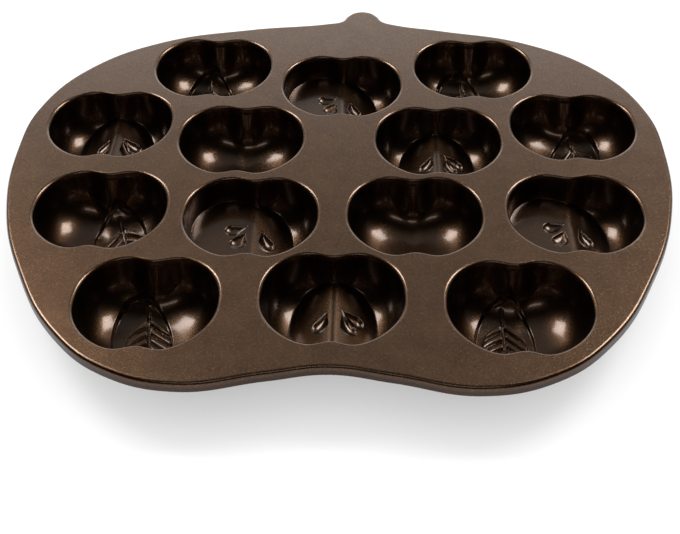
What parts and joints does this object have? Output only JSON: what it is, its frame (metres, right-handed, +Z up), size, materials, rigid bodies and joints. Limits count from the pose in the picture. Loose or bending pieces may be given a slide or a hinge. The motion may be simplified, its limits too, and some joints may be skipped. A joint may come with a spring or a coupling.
{
  "type": "muffin pan",
  "caption": "Cast aluminium apple-shaped cake pan, its flat deck and turned-down lip holding shallow apple-shaped cups with cut-face, seed and leaf forms.",
  "frame": {"origin": "centre of the pan's plan, on the surface that its cups stand on", "axes": "+X along the pan's width, +Y towards the stem, +Z up out of the cups"},
  "size_m": [0.315, 0.28, 0.028],
  "materials": {
    "coated_casting": "dark bronze metallic non-stick coat, satin"
  },
  "bodies": {
    "root": {"deck_plate": "coated_casting", "rim_lip": "coated_casting", "stem_tab": "coated_casting", "leaf_cup_back_left": "coated_casting", "half_cup_back": "coated_casting", "leaf_cup_back_right": "coated_casting", "wedge_cup_left": "coated_casting", "plain_cup_left": "coated_casting", "wedge_cup_right": "coated_casting", "leaf_cup_right": "coated_casting", "leaf_cup_left": "coated_casting", "half_cup_left": "coated_casting", "plain_cup_right": "coated_casting", "half_cup_right": "coated_casting", "leaf_cup_front_left": "coated_casting", "wedge_cup_front": "coated_casting", "leaf_cup_front_right": "coated_casting"}
  },
  "joints": []
}
